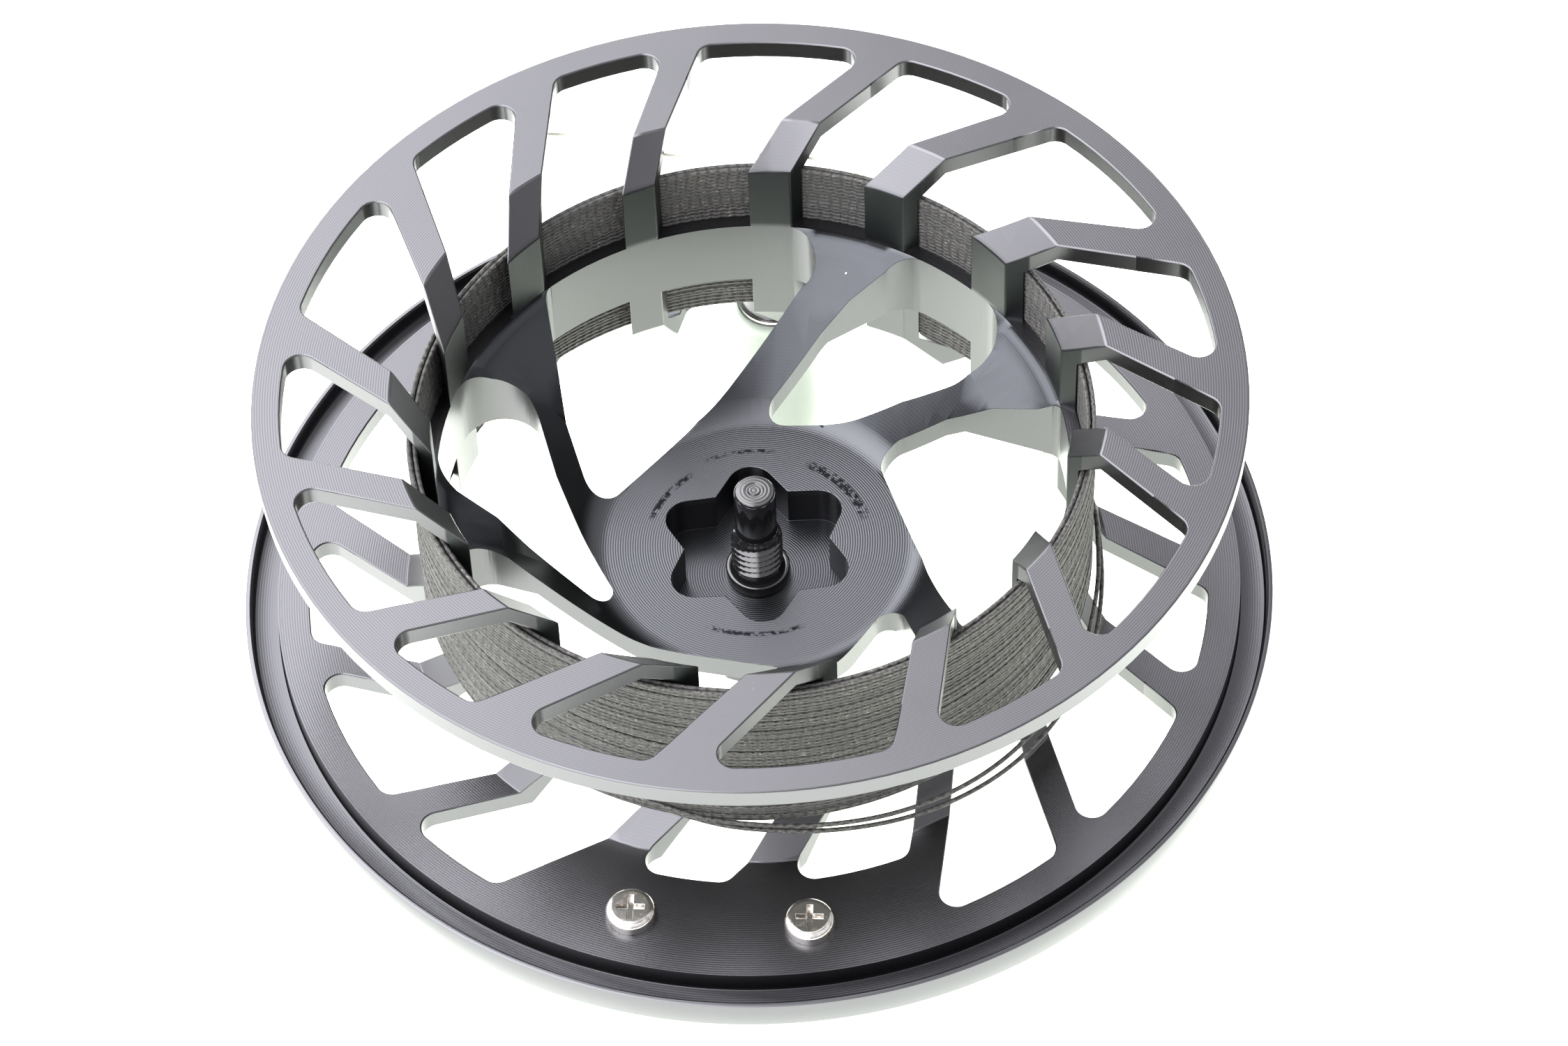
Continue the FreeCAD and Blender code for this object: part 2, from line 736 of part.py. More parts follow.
def handle_post():
    zero = Place("0", 0.0)
    face = at("handle_line_face", "flange_thickness", -1)
    deep = below(at("post_end"))
    hole = Place(cell("post_end") + " + " + cell("end_screw_length"),
                 size["post_end"] + size["end_screw_length"])
    return named(handle_part("handle_post", [
        (zero, at("handle_line_face")),
        (at("post_thread"), at("handle_line_face")),
        (at("post_thread"), face),
        (at("post_radius"), face),
        (at("post_radius"), deep),
        (at("end_screw_shank"), deep),
        (at("end_screw_shank"), hole),
        (zero, hole),
    ]), "handle_post")


def handle_ferrule():
    face = at("handle_line_face", "flange_thickness", -1)
    return named(handle_part("handle_ferrule", [
        (at("post_radius"), face), (at("ferrule_radius"), face),
        (at("ferrule_radius"), at("ferrule_bottom")), (at("post_radius"), at("ferrule_bottom")),
    ]), "handle_ferrule")


def handle_washer():
    return named(handle_part("handle_washer", [
        (at("post_radius"), at("ferrule_bottom")),
        (at("handle_washer_radius"), at("ferrule_bottom")),
        (at("handle_washer_radius"), at("handle_washer_bottom")),
        (at("post_radius"), at("handle_washer_bottom")),
    ]), "handle_washer")


def handle_knob():
    shoulder = Place(cell("post_end") + " + " + cell("washer_gap"), size["post_end"] + size["washer_gap"])
    body = handle_part("handle_knob", [
        (at("knob_bore"), at("knob_top")),
        (at("knob_top_radius"), at("knob_top")),
        (at("knob_belly_radius"), at("knob_belly")),
        (at("knob_end_radius"), at("knob_end")),
        (at("knob_counterbore"), at("knob_end")),
        (at("knob_counterbore"), shoulder),
        (at("knob_bore"), shoulder),
    ])
    fillet(body, "TopCorner", "knob_corner",
           lambda edge: is_ring(edge, size["knob_top_radius"], size["knob_top"]))
    return named(body, "handle_knob")


def handle_bush(label, top):
    low = below(top, "bush_length")
    return named(handle_part(label, [
        (at("bush_bore"), low), (at("knob_bore"), low), (at("knob_bore"), top), (at("bush_bore"), top),
    ]), label)


def handle_end_screw():
    zero = Place("0", 0.0)
    head = below(at("post_end"), "end_screw_head")
    hole = Place(cell("post_end") + " + " + cell("end_screw_length"),
                 size["post_end"] + size["end_screw_length"])
    return named(handle_part("handle_end_screw", [
        (zero, hole), (at("end_screw_shank"), hole), (at("end_screw_shank"), at("post_end")),
        (at("end_screw_radius"), at("post_end")), (at("end_screw_radius"), head), (zero, head),
    ]), "handle_end_screw")


# ---- balance weight ----

def balance_weight():
    """An arc of metal under the flange, opposite the handle, with two screw holes."""
    top = at("handle_line_face", "flange_thickness", -1)
    body = new_body("Body_balance_weight")
    turned = revolve(body, [
        (at("weight_inner"), at("weight_bottom")), (at("weight_outer"), at("weight_bottom")),
        (at("weight_outer"), top), (at("weight_inner"), top),
    ])
    turned.Midplane = True
    turned.Angle = size["weight_sweep"]
    turned.setExpression("Angle", cell("weight_sweep"))
    doc.recompute()
    plan = new_sketch(body, "ScrewPlan", "XY_Plane")
    half = size["weight_screw_spread"] / 2
    for sign in (-1, 1):
        around = "(%s / 2 * %d * 1 deg)" % (cell("weight_screw_spread"), sign)
        reach = size["weight_screw_radius"]
        across = Place(cell("weight_screw_radius") + " * cos" + around,
                       reach * math.cos(math.radians(half)))
        up = Place(cell("weight_screw_radius") + " * sin" + around,
                   sign * reach * math.sin(math.radians(half)))
        circle(plan, across, up, at("screw_shank"))
    pocket(body, plan, "ScrewHoles", through)
    turn = FreeCAD.Rotation(FreeCAD.Vector(0, 0, 1), size["weight_middle"])
    body.Placement = FreeCAD.Placement(FreeCAD.Vector(), turn)
    body.setExpression(".Placement.Rotation.Angle", cell("weight_middle") + " * 1 deg")
    return named(body, "balance_weight")


def weight_screw(index, angle):
    """One pan-head screw with a cross recess, standing on the line side of the flange."""
    zero = Place("0", 0.0)
    seat = at("handle_line_face")
    head = at("handle_line_face", "screw_head_height")
    body = new_body("Body_weight_screw_%d" % index)
    revolve(body, [
        (zero, at("handle_line_face", "screw_length", -1)),
        (at("screw_shank"), at("handle_line_face", "screw_length", -1)),
        (at("screw_shank"), seat), (at("screw_head"), seat), (at("screw_head"), head), (zero, head),
    ])
    fillet(body, "HeadCorner", "screw_head_corner",
           lambda edge: is_ring(edge, size["screw_head"], head.value))
    for name, along, across in (("SlotAlong", "recess_length", "recess_width"),
                                ("SlotAcross", "recess_width", "recess_length")):
        sketch = new_sketch(body, name + "Plan", "XY_Plane")
        sketch.AttachmentOffset = FreeCAD.Placement(FreeCAD.Vector(0, 0, head.value), FreeCAD.Rotation())
        sketch.setExpression("AttachmentOffset.Base.z", head.formula)
        half_long = Place(cell(along) + " / 2", size[along] / 2)
        half_wide = Place(cell(across) + " / 2", size[across] / 2)
        minus_long = Place("-" + cell(along) + " / 2", -size[along] / 2)
        minus_wide = Place("-" + cell(across) + " / 2", -size[across] / 2)
        outline(sketch, [(minus_long, minus_wide), (half_long, minus_wide),
                         (half_long, half_wide), (minus_long, half_wide)])
        cut = body.newObject("PartDesign::Pocket", name)
        cut.Profile = sketch
        cut.Type = "Length"
        cut.Length = size["recess_depth"]
        cut.setExpression("Length", cell("recess_depth"))
        doc.recompute()
    reach = size["weight_screw_radius"]
    turn = math.radians(angle)
    body.Placement.Base = FreeCAD.Vector(reach * math.cos(turn), reach * math.sin(turn), 0)
    return body


def weight_screws():
    pair = doc.addObject("Part::Compound", "WeightScrews")
    pair.Links = [weight_screw(index, angle) for index, angle in enumerate(weight_screw_angles(), 1)]
    return named(pair, "weight_screws")


# ---- line ----

def backing():
    """The wound backing line, as the closed ring that its turns fill on the arbor."""
    crown = size["backing_crown"]
    top = Place(cell("backing_high") + " + " + cell("backing_crown"), size["backing_high"] + crown)
    mid = Place("(%s + %s) / 2" % (cell("backing_inner"), cell("backing_outer")),
                (size["backing_inner"] + size["backing_outer"]) / 2)
    return turned_part("backing", [
        (at("backing_inner"), at("backing_low")),
        (mid, at("backing_low")),
        (at("backing_outer"), at("backing_low", "backing_crown")),
        (at("backing_outer"), at("backing_high")),
        (mid, top),
        (at("backing_inner"), at("backing_high")),
    ])


def cord(label, thickness_alias):
    """A strand of round section: straight runs joined by tangent arcs."""
    def read(alias):
        return float(sheet.get(alias))

    points = []
    for place in range(len(strand_points[label])):
        angle = math.radians(read("%s_angle_%d" % (label, place)))
        reach = read("%s_radius_%d" % (label, place))
        height = read("%s_height_%d" % (label, place))
        points.append(FreeCAD.Vector(reach * math.cos(angle), reach * math.sin(angle), height))
    # share of the shorter neighbouring run that each bend takes up
    share = 0.45
    edges = []
    radii = []
    here = points[0]
    for before, corner, after in zip(points, points[1:], points[2:]):
        into, out = corner - before, after - corner
        bend = into.getAngle(out)
        trim = share * min(into.Length, out.Length)
        radius = trim / math.tan(bend / 2)
        start = corner - into.normalize() * trim
        stop = corner + out.normalize() * trim
        inward = (start + stop) * 0.5 - corner
        centre = corner + FreeCAD.Vector(inward).normalize() * math.hypot(radius, trim)
        middle = centre - FreeCAD.Vector(inward).normalize() * radius
        edges.append(Part.LineSegment(here, start).toShape())
        edges.append(Part.Arc(start, middle, stop).toShape())
        radii.append(radius)
        here = stop
    edges.append(Part.LineSegment(here, points[-1]).toShape())
    path = Part.Wire(edges)
    thickness = read(thickness_alias)
    section = Part.Wire(Part.Circle(points[0], points[1] - points[0], thickness).toShape())
    solid = path.makePipeShell([section], True, False)
    expected = math.pi * thickness ** 2 * path.Length
    if abs(solid.Volume / expected - 1) > 0.01:
        raise RuntimeError("%s has volume %.3f, wanted %.3f" % (label, solid.Volume, expected))
    print("%s: length %.1f, smallest bend %.2f, volume %.3f against %.3f"
          % (label, path.Length, min(radii), solid.Volume, expected))
    strand = doc.addObject("Part::Feature", "Strand_" + label)
    strand.Shape = solid
    return named(strand, label)


for make in (frame_side_rim, frame_side_ribs, arbor_band, hub_spider, handle_side_ribs, handle_side_rim,
             palming_rim, release_screw, retaining_collar, thrust_washer, release_cap, handle_post,
             handle_ferrule, handle_washer, handle_knob, handle_end_screw, balance_weight,
             weight_screws, backing):
    part = make()
    print("built", part.Label)
handle_bush("handle_bush_upper", at("knob_top"))
handle_bush("handle_bush_lower", at("lower_bush_top"))
cord("loose_wrap_a", "wrap_radius")
cord("loose_wrap_b", "wrap_radius")
cord("tag_strand", "tag_radius")
doc.recompute()

for item in doc.Objects:
    if "Invalid" in item.State or "Error" in item.State:
        raise RuntimeError("%s did not rebuild: %s" % (item.Name, item.State))

os.makedirs("parts", exist_ok=True)
for part in sub_parts:
    if part.Shape.isNull() or not part.Shape.isValid():
        raise RuntimeError(part.Label + " has no valid shape")
    part.Shape.exportStep("parts/%s.step" % part.Label)
    print("%-20s %8.1f mm3 %d solids" % (part.Label, part.Shape.Volume, len(part.Shape.Solids)))
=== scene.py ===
import bpy
import bmesh
import math
import random
from mathutils import Matrix, Vector


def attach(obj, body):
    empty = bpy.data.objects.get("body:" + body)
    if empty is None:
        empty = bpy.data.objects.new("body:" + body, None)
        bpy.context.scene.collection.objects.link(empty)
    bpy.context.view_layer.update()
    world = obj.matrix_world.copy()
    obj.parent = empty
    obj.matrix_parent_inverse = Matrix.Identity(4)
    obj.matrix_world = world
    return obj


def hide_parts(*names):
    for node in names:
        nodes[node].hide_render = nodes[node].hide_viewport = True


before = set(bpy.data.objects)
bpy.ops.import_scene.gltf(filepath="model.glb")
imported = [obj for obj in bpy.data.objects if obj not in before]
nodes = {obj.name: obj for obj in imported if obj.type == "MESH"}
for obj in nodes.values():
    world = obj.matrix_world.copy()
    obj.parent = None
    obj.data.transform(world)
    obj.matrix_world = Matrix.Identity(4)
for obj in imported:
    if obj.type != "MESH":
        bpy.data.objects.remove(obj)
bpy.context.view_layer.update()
mm = 0.001
print("frame loaded")


def addNode(tree, kind, **settings):
    made = tree.nodes.new(kind)
    for name, value in settings.items():
        setattr(made, name, value)
    return made


def calc(tree, operation, *inputs):
    # one Math node fed by sockets or plain numbers
    made = addNode(tree, "ShaderNodeMath", operation=operation)
    for slot, value in enumerate(inputs):
        if isinstance(value, (int, float)):
            made.inputs[slot].default_value = value
        else:
            tree.links.new(value, made.inputs[slot])
    return made.outputs[0]


def remap(tree, value, low, high, newLow=0.0, newHigh=1.0):
    made = addNode(tree, "ShaderNodeMapRange", interpolation_type="SMOOTHSTEP")
    tree.links.new(value, made.inputs["Value"])
    for name, number in (("From Min", low), ("From Max", high), ("To Min", newLow), ("To Max", newHigh)):
        made.inputs[name].default_value = number
    return made.outputs[0]


def blendColor(tree, factor, first, second):
    made = addNode(tree, "ShaderNodeMix", data_type="RGBA")
    sockets = {socket.identifier: socket for socket in made.inputs}
    for name, value in (("Factor_Float", factor), ("A_Color", first), ("B_Color", second)):
        if isinstance(value, bpy.types.NodeSocket):
            tree.links.new(value, sockets[name])
        else:
            sockets[name].default_value = value
    return next(socket for socket in made.outputs if socket.identifier == "Result_Color")


def noise(tree, vector, scale, detail=2.0, rough=0.5):
    made = addNode(tree, "ShaderNodeTexNoise")
    tree.links.new(vector, made.inputs["Vector"])
    made.inputs["Scale"].default_value = scale
    made.inputs["Detail"].default_value = detail
    made.inputs["Roughness"].default_value = rough
    return made.outputs["Fac"]


def stretched(tree, vector, scale):
    made = addNode(tree, "ShaderNodeMapping")
    tree.links.new(vector, made.inputs["Vector"])
    made.inputs["Scale"].default_value = scale
    return made.outputs[0]


def bump(tree, height, distance, strength=1.0, under=None):
    made = addNode(tree, "ShaderNodeBump")
    made.inputs["Strength"].default_value = strength
    made.inputs["Distance"].default_value = distance
    tree.links.new(height, made.inputs["Height"])
    if under is not None:
        tree.links.new(under, made.inputs["Normal"])
    return made.outputs[0]


def newFinish(name, color, metallic, roughness):
    # a material with its shader, its Object coordinates and the distance from the spool's axis
    made = bpy.data.materials.new(name)
    made.use_nodes = True
    tree = made.node_tree
    shader = tree.nodes["Principled BSDF"]
    shader.inputs["Base Color"].default_value = (*color, 1.0)
    shader.inputs["Metallic"].default_value = metallic
    shader.inputs["Roughness"].default_value = roughness
    spot = addNode(tree, "ShaderNodeTexCoord").outputs["Object"]
    split = addNode(tree, "ShaderNodeSeparateXYZ")
    tree.links.new(spot, split.inputs[0])
    x, y, z = split.outputs
    reach = calc(tree, "SQRT", calc(tree, "ADD", calc(tree, "MULTIPLY", x, x), calc(tree, "MULTIPLY", y, y)))
    turn = calc(tree, "ARCTAN2", y, x)
    return made, tree, shader, {"place": spot, "z": z, "reach": reach, "turn": turn}


def band(tree, value, middle, halfWidth, edge):
    # 1 inside a band of values, fading to 0 over its edge
    away = calc(tree, "ABSOLUTE", calc(tree, "SUBTRACT", value, middle))
    return remap(tree, away, halfWidth, halfWidth + edge, 1.0, 0.0)


anodised = {"color": (0.098, 0.097, 0.102), "dark": (0.088, 0.088, 0.093, 1), "light": (0.108, 0.107, 0.113, 1),
            "roughness": 0.30, "ringPitch": 0.24 * mm, "ringDepth": 0.0045 * mm, "ringWobble": 0.5 * mm,
            "hatchScale": 2600.0, "hatchDepth": 0.02 * mm, "grainDepth": 0.004 * mm,
            "seatReach": 14.6 * mm, "ringsOffSeat": 0.38,
            # painted shade: the colours below darken the posts' inner faces, the hub, its dish, the socket and the
            # groove
            "postPaintedShade": (0.031, 0.034, 0.035, 1), "postReach": 30.6 * mm, "postLow": 12.1 * mm,
            "hubPaintedShade": (0.060, 0.062, 0.066, 1), "hubReach": 29.6 * mm,
            "dishPaintedShade": (0.034, 0.036, 0.039, 1), "dishReach": 15.0 * mm,
            "sunkPaintedShade": (0.030, 0.031, 0.034, 1), "socketReach": 9.8 * mm, "grooveReach": 48.1 * mm,
            "scuffTone": (0.012, 0.012, 0.014, 1), "nickTone": (0.42, 0.42, 0.43, 1),
            # radius, angle, half spread and half width of each rubbed arc
            "scuffs": ((10.9, 0.72, 0.34, 0.34), (11.0, -1.55, 0.34, 0.10), (10.7, 2.55, 0.24, 0.14),
                       (11.5, 1.75, 0.22, 0.06))}


def anodisedScuffs(tree, at):
    # rubbed arcs on the seat beside the socket
    ragged = noise(tree, at["place"], 1500.0, 3.0, 0.8)
    scuffs = None
    for reach, turn, spread, width in anodised["scuffs"]:
        around = band(tree, at["turn"], turn, spread, 0.12)
        across = band(tree, at["reach"], reach * mm, width * mm, 0.30 * mm)
        one = calc(tree, "MULTIPLY", around, across)
        scuffs = one if scuffs is None else calc(tree, "MAXIMUM", scuffs, one)
    onSeat = band(tree, at["z"], 0.0, 0.2 * mm, 0.1 * mm)
    return calc(tree, "MULTIPLY", calc(tree, "MULTIPLY", scuffs, onSeat), remap(tree, ragged, 0.44, 0.52))


def anodisedShadeMasks(tree, at, upright):
    # masks of painted shade: the parts of the spool that are toned darker by place, whatever the light,
    # namely the posts' inner faces, the dished hub, its outer dish, and the socket and the rim's groove
    posts = calc(tree, "MULTIPLY", band(tree, at["reach"], anodised["postReach"], 0.9 * mm, 0.2 * mm),
                 calc(tree, "MULTIPLY", upright,
                      remap(tree, at["z"], anodised["postLow"], anodised["postLow"] + 0.8 * mm)))
    hub = calc(tree, "MULTIPLY",
               remap(tree, at["reach"], anodised["hubReach"], anodised["hubReach"] + 0.8 * mm, 1.0, 0.0),
               calc(tree, "SUBTRACT", 1.0, upright))
    dish = calc(tree, "MULTIPLY", hub,
                remap(tree, at["reach"], anodised["dishReach"], anodised["dishReach"] + 3.0 * mm))
    socket = calc(tree, "MULTIPLY", remap(tree, at["z"], -1.0 * mm, -0.4 * mm, 1.0, 0.0),
                  remap(tree, at["reach"], anodised["socketReach"], anodised["socketReach"] + 0.4 * mm, 1.0, 0.0))
    groove = calc(tree, "MULTIPLY", band(tree, at["reach"], anodised["grooveReach"], 1.3 * mm, 0.1 * mm),
                  remap(tree, at["z"], -6.6 * mm, -5.2 * mm, 1.0, 0.0))
    return posts, hub, dish, calc(tree, "MAXIMUM", socket, groove)


def makeAnodised():
    made, tree, shader, at = newFinish("satinAnodised", anodised["color"], 1.0, anodised["roughness"])
    facing = addNode(tree, "ShaderNodeSeparateXYZ")
    tree.links.new(addNode(tree, "ShaderNodeNewGeometry").outputs["True Normal"], facing.inputs[0])
    slope = calc(tree, "ABSOLUTE", facing.outputs[2])
    level = remap(tree, slope, 0.55, 0.9)  # 1 on turned faces
    upright = remap(tree, slope, 0.15, 0.4, 1.0, 0.0)  # 1 on milled walls
    cloud = noise(tree, at["place"], 60.0, 3.0, 0.55)
    # turning rings, strongest on the hub's seat
    wobble = calc(tree, "MULTIPLY", noise(tree, at["place"], 35.0, 1.0), anodised["ringWobble"])
    rings = calc(tree, "SINE", calc(tree, "MULTIPLY", calc(tree, "ADD", at["reach"], wobble),
                                    2 * math.pi / anodised["ringPitch"]))
    seat = remap(tree, at["reach"], anodised["seatReach"], anodised["seatReach"] + 1.5 * mm,
                 1.0, anodised["ringsOffSeat"])
    rings = calc(tree, "MULTIPLY", calc(tree, "MULTIPLY", rings, seat), level)
    # upright cutter marks on the walls of slots and windows, then a fine grain over everything
    marks = noise(tree, stretched(tree, at["place"], (1.0, 1.0, 0.06)), anodised["hatchScale"], 2.0, 0.7)
    surface = bump(tree, rings, anodised["ringDepth"])
    surface = bump(tree, calc(tree, "MULTIPLY", marks, upright), anodised["hatchDepth"], 0.35, surface)
    surface = bump(tree, noise(tree, at["place"], 900.0, 3.0, 0.6), anodised["grainDepth"], 0.5, surface)
    tree.links.new(surface, shader.inputs["Normal"])
    scuffs = anodisedScuffs(tree, at)
    nicks = calc(tree, "MULTIPLY", remap(tree, noise(tree, at["place"], 420.0, 4.0, 0.75), 0.735, 0.76), level)
    posts, hub, dish, sunk = anodisedShadeMasks(tree, at, upright)
    tone = blendColor(tree, cloud, anodised["dark"], anodised["light"])
    # painted shade on the posts' inner faces
    tone = blendColor(tree, posts, tone, anodised["postPaintedShade"])
    # painted shade on the dished hub
    tone = blendColor(tree, calc(tree, "MULTIPLY", hub, 0.9), tone, anodised["hubPaintedShade"])
    # painted shade, deeper, on the hub's outer dish
    tone = blendColor(tree, calc(tree, "MULTIPLY", dish, 0.8), tone, anodised["dishPaintedShade"])
    # painted shade in the socket and the rim's groove
    tone = blendColor(tree, calc(tree, "MULTIPLY", sunk, 0.45), tone, anodised["sunkPaintedShade"])
    tone = blendColor(tree, scuffs, tone, anodised["scuffTone"])
    tone = blendColor(tree, nicks, tone, anodised["nickTone"])
    tree.links.new(tone, shader.inputs["Base Color"])
    sheen = calc(tree, "ADD", calc(tree, "MULTIPLY", cloud, 0.10), anodised["roughness"] - 0.05)
    sheen = calc(tree, "ADD", sheen, calc(tree, "MULTIPLY", posts, 0.18))
    tree.links.new(calc(tree, "ADD", sheen, calc(tree, "MULTIPLY", scuffs, 0.3)), shader.inputs["Roughness"])
    return made


glossBlack = {"color": (0.008, 0.008, 0.009), "tipColor": (0.045, 0.045, 0.045, 1), "roughness": 0.12,
              "tipHeight": 8.2 * mm, "tipPitch": 0.34 * mm}


def makeGlossBlack():
    made, tree, shader, at = newFinish("glossBlack", glossBlack["color"], 0.0, glossBlack["roughness"])
    shader.inputs["Coat Weight"].default_value = 0.4
    shader.inputs["Coat Roughness"].default_value = 0.06
    tip = band(tree, at["z"], glossBlack["tipHeight"], 0.08 * mm, 0.05 * mm)
    rings = calc(tree, "SINE", calc(tree, "MULTIPLY", at["reach"], 2 * math.pi / glossBlack["tipPitch"]))
    tone = blendColor(tree, calc(tree, "MULTIPLY", tip, remap(tree, rings, -0.4, 0.8)),
                      (*glossBlack["color"], 1), glossBlack["tipColor"])
    tree.links.new(tone, shader.inputs["Base Color"])
    surface = bump(tree, noise(tree, at["place"], 1800.0, 2.0), 0.003 * mm, 0.15)
    surface = bump(tree, calc(tree, "MULTIPLY", rings, tip), 0.02 * mm, 0.8, surface)
    tree.links.new(surface, shader.inputs["Normal"])
    return made


def makeSteel():
    made, tree, shader, at = newFinish("plainSteel", (0.62, 0.60, 0.57), 1.0, 0.22)
    grime = remap(tree, noise(tree, at["place"], 900.0, 4.0, 0.7), 0.5, 0.72)
    tone = blendColor(tree, grime, (0.66, 0.64, 0.61, 1), (0.22, 0.17, 0.12, 1))
    tree.links.new(tone, shader.inputs["Base Color"])
    tree.links.new(calc(tree, "ADD", calc(tree, "MULTIPLY", grime, 0.25), 0.16), shader.inputs["Roughness"])
    tree.links.new(bump(tree, noise(tree, at["place"], 2500.0, 2.0), 0.01 * mm, 0.5), shader.inputs["Normal"])
    return made


braid = {"color": (0.05, 0.047, 0.042), "low": (0.012, 0.0115, 0.011, 1), "high": (0.050, 0.0475, 0.043, 1),
         "fleck": (0.15, 0.143, 0.13, 1), "shade": (0.018, 0.018, 0.018, 1), "roughness": 0.62,
         "pitch": 0.47 * mm, "aroundSpool": 32.0, "plaits": 6.0, "depth": 0.04 * mm}


def makeBraid():
    made, tree, shader, at = newFinish("braidedLine", braid["color"], 0.0, braid["roughness"])
    # plaits run both ways round each strand and show as crossing slants
    run = calc(tree, "MULTIPLY", at["turn"], braid["aroundSpool"])
    climb = calc(tree, "MULTIPLY", at["z"], 1 / braid["pitch"])
    loose = calc(tree, "MULTIPLY", noise(tree, at["place"], 220.0, 2.0), 2.2)
    slants = [calc(tree, "SINE", calc(tree, "MULTIPLY", calc(tree, "ADD", calc(tree, way, run, climb), loose),
                                      braid["plaits"])) for way in ("ADD", "SUBTRACT")]
    plait = calc(tree, "MAXIMUM", *slants)
    fleck = noise(tree, at["place"], 2600.0, 3.0, 0.75)
    shade = noise(tree, stretched(tree, at["place"], (1.0, 1.0, 6.0)), 90.0, 2.0)
    tone = blendColor(tree, remap(tree, plait, -0.3, 1.0), braid["low"], braid["high"])
    tone = blendColor(tree, remap(tree, fleck, 0.56, 0.7), tone, braid["fleck"])
    tone = blendColor(tree, remap(tree, shade, 0.35, 0.65, 0.0, 0.45), tone, braid["shade"])
    tree.links.new(tone, shader.inputs["Base Color"])
    tree.links.new(bump(tree, plait, braid["depth"], 0.7), shader.inputs["Normal"])
    return made


def makeTagLine():
    made, tree, shader, at = newFinish("paleLine", (0.62, 0.63, 0.52), 0.0, 0.4)
    tone = blendColor(tree, noise(tree, at["place"], 900.0, 2.0), (0.50, 0.51, 0.42, 1), (0.74, 0.75, 0.63, 1))
    tree.links.new(tone, shader.inputs["Base Color"])
    return made


def makeKnobFinish():
    made, tree, shader, at = newFinish("knobResin", (0.28, 0.31, 0.28), 0.0, 0.34)
    flow = noise(tree, stretched(tree, at["place"], (1.0, 1.0, 0.25)), 260.0, 3.0, 0.6)
    tone = blendColor(tree, flow, (0.19, 0.215, 0.19, 1), (0.26, 0.285, 0.26, 1))
    tree.links.new(tone, shader.inputs["Base Color"])
    tree.links.new(bump(tree, noise(tree, at["place"], 1600.0, 2.0), 0.01 * mm, 0.4), shader.inputs["Normal"])
    return made


def makeBushFinish():
    made, tree, shader, at = newFinish("bushResin", (0.55, 0.53, 0.48), 0.0, 0.5)
    tone = blendColor(tree, noise(tree, at["place"], 1200.0, 2.0), (0.48, 0.46, 0.41, 1), (0.62, 0.60, 0.55, 1))
    tree.links.new(tone, shader.inputs["Base Color"])
    return made


def makeCapFinish():
    made, tree, shader, at = newFinish("capBlack", (0.022, 0.022, 0.024), 0.0, 0.38)
    tone = blendColor(tree, noise(tree, at["place"], 500.0, 3.0),
                      (0.016, 0.016, 0.018, 1), (0.034, 0.034, 0.037, 1))
    tree.links.new(tone, shader.inputs["Base Color"])
    rings = calc(tree, "SINE", calc(tree, "MULTIPLY", at["reach"], 2 * math.pi / (0.3 * mm)))
    tree.links.new(bump(tree, rings, 0.004 * mm, 0.5), shader.inputs["Normal"])
    return made


metalFinish = makeAnodised()
screwFinish = makeGlossBlack()
steelFinish = makeSteel()
braidFinish = makeBraid()
tagFinish = makeTagLine()
knobFinish = makeKnobFinish()
bushFinish = makeBushFinish()
capFinish = makeCapFinish()
print("finishes made")


def place(piece, body, finish, node):
    # gives a finished piece its look and its body, and lets it stand for its CAD node
    piece.data.materials.clear()
    piece.data.materials.append(finish)
    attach(piece, body)
    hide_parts(node)


def toObject(shape, name):
    mesh = bpy.data.meshes.new(name)
    shape.to_mesh(mesh)
    shape.free()
    made = bpy.data.objects.new(name, mesh)
    bpy.context.scene.collection.objects.link(made)
    return made


def joinInto(body, extra):
    # moves one bmesh's faces into another
    mesh = bpy.data.meshes.new("joined")
    extra.to_mesh(mesh)
    extra.free()
    body.from_mesh(mesh)
    bpy.data.meshes.remove(mesh)


def shadeByAngle(piece, degrees):
    piece.data.shade_smooth()
    piece.data.set_sharp_from_angle(angle=math.radians(degrees))


edgeBreak = {"segments": 2, "sharpFrom": 28.0, "shadeAngle": 35.0, "mouthTimes": 3, "weld": 0.002 * mm}
seams = {"reaches": (39.5, 30.3, 46.5), "levels": (4.4, 12.3), "wall": (29.8, 31.5)}


def onSeam(corners):
    # whether some points all lie where two regions of the one-piece spool meet
    reaches = [math.hypot(corner.x, corner.y) / mm for corner in corners]
    levels = [corner.z / mm for corner in corners]
    for seam in seams["reaches"]:
        if all(abs(reach - seam) < 0.05 for reach in reaches):
            return True
    inWall = all(seams["wall"][0] < reach < seams["wall"][1] for reach in reaches)
    return inWall and any(all(abs(level - seam) < 0.02 for level in levels) for seam in seams["levels"])


